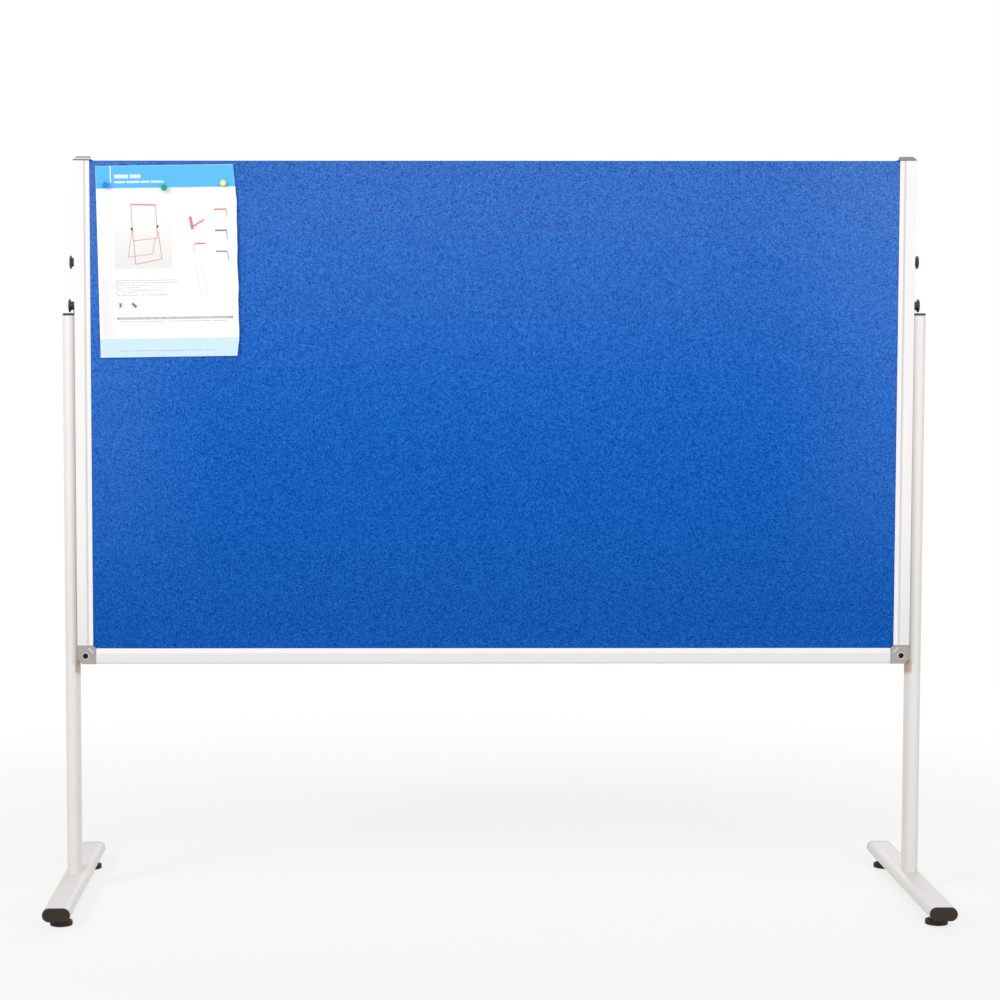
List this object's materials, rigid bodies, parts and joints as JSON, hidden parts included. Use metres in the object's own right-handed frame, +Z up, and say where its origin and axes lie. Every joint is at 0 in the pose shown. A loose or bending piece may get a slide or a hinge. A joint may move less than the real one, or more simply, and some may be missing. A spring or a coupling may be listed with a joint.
{
  "type": "mobile pinboard",
  "caption": "Free-standing double-sided felt pinboard in a slim white frame, held between oval posts on T-shaped feet; the board slides up and down and is clamped by knobs.",
  "frame": {"origin": "on the floor below the middle of the feet", "axes": "+X along the board to the right seen from its front, +Y to the rear, +Z up"},
  "size_m": [1.562, 0.55, 1.3275],
  "materials": {
    "bar_coat": "white powder coat on extruded aluminium, semi-matt",
    "tube_coat": "white powder coat on steel tube, semi-matt",
    "grey_plastic": "light grey moulded plastic",
    "black_plastic": "black moulded plastic",
    "nylon": "natural nylon",
    "black_rubber": "matt black rubber",
    "black_steel": "blackened steel",
    "bright_steel": "zinc-plated steel",
    "cast_alloy": "as die-cast",
    "core_board": "soft paper-honeycomb board",
    "blue_felt": "needled felt, royal blue",
    "paper": null,
    "blue_pin": "blue moulded plastic",
    "green_pin": "green moulded plastic",
    "yellow_pin": "yellow moulded plastic"
  },
  "bodies": {
    "stand": {"post_left": "tube_coat", "post_cap_left": "black_plastic", "post_insert_left": "cast_alloy", "foot_bolt_left": "black_steel", "foot_tube_left": "tube_coat", "guide_shoe_left": "nylon", "guide_screw_left": "bright_steel", "clamp_nut_left": "bright_steel", "foot_end_cap_left_front": "black_plastic", "glide_bush_left_front": "black_plastic", "foot_end_cap_left_rear": "black_plastic", "glide_bush_left_rear": "black_plastic", "post_right": "tube_coat", "post_cap_right": "black_plastic", "post_insert_right": "cast_alloy", "foot_bolt_right": "black_steel", "foot_tube_right": "tube_coat", "guide_shoe_right": "nylon", "guide_screw_right": "bright_steel", "clamp_nut_right": "bright_steel", "foot_end_cap_right_front": "black_plastic", "glide_bush_right_front": "black_plastic", "foot_end_cap_right_rear": "black_plastic", "glide_bush_right_rear": "black_plastic"},
    "board": {"bottom_bar": "bar_coat", "panel_core": "core_board", "felt_cover": "blue_felt", "notice_sheet": "paper", "side_bar_left": "bar_coat", "corner_left": "grey_plastic", "end_cap_left": "grey_plastic", "stop_nut_left": "bright_steel", "corner_screw_left_front": "black_steel", "corner_screw_left_rear": "black_steel", "side_bar_right": "bar_coat", "corner_right": "grey_plastic", "end_cap_right": "grey_plastic", "stop_nut_right": "bright_steel", "corner_screw_right_front": "black_steel", "corner_screw_right_rear": "black_steel"},
    "clamp_knob_left": {"clamp_knob_left": "black_plastic", "clamp_stud_left": "bright_steel"},
    "clamp_knob_right": {"clamp_knob_right": "black_plastic", "clamp_stud_right": "bright_steel"},
    "stop_knob_left": {"stop_knob_left": "black_plastic", "stop_stud_left": "bright_steel"},
    "stop_knob_right": {"stop_knob_right": "black_plastic", "stop_stud_right": "bright_steel"},
    "glide_left_front": {"glide_pad_left_front": "black_rubber", "glide_stem_left_front": "bright_steel"},
    "glide_left_rear": {"glide_pad_left_rear": "black_rubber", "glide_stem_left_rear": "bright_steel"},
    "glide_right_front": {"glide_pad_right_front": "black_rubber", "glide_stem_right_front": "bright_steel"},
    "glide_right_rear": {"glide_pad_right_rear": "black_rubber", "glide_stem_right_rear": "bright_steel"},
    "pin_blue": {"push_pin_blue": "blue_pin"},
    "pin_green": {"push_pin_green": "green_pin"},
    "pin_yellow": {"push_pin_yellow": "yellow_pin"}
  },
  "joints": [
    {"name": "board_height", "type": "slide", "parent": "stand", "child": "board", "axis": [0, 0, 1], "range_m": [-0.05, 0.2]},
    {"name": "clamp_turn_left", "type": "hinge", "parent": "stand", "child": "clamp_knob_left", "pos_m": [-0.7533, 0.02, 1.0619], "axis": [1, 0, 0], "range_deg": [0, 360]},
    {"name": "clamp_turn_right", "type": "hinge", "parent": "stand", "child": "clamp_knob_right", "pos_m": [0.7533, 0.02, 1.0619], "axis": [1, 0, 0], "range_deg": [0, 360]},
    {"name": "stop_turn_left", "type": "hinge", "parent": "board", "child": "stop_knob_left", "pos_m": [-0.748, 0.02, 1.1394], "axis": [1, 0, 0], "range_deg": [0, 360]},
    {"name": "stop_turn_right", "type": "hinge", "parent": "board", "child": "stop_knob_right", "pos_m": [0.748, 0.02, 1.1394], "axis": [1, 0, 0], "range_deg": [0, 360]},
    {"name": "glide_height_left_front", "type": "slide", "parent": "stand", "child": "glide_left_front", "axis": [0, 0, -1], "range_m": [0, 0.01]},
    {"name": "glide_height_left_rear", "type": "slide", "parent": "stand", "child": "glide_left_rear", "axis": [0, 0, -1], "range_m": [0, 0.01]},
    {"name": "glide_height_right_front", "type": "slide", "parent": "stand", "child": "glide_right_front", "axis": [0, 0, -1], "range_m": [0, 0.01]},
    {"name": "glide_height_right_rear", "type": "slide", "parent": "stand", "child": "glide_right_rear", "axis": [0, 0, -1], "range_m": [0, 0.01]},
    {"name": "pin_pull_blue", "type": "slide", "parent": "board", "child": "pin_blue", "axis": [0, -1, 0], "range_m": [0, 0.015]},
    {"name": "pin_pull_green", "type": "slide", "parent": "board", "child": "pin_green", "axis": [0, -1, 0], "range_m": [0, 0.015]},
    {"name": "pin_pull_yellow", "type": "slide", "parent": "board", "child": "pin_yellow", "axis": [0, -1, 0], "range_m": [0, 0.015]}
  ]
}
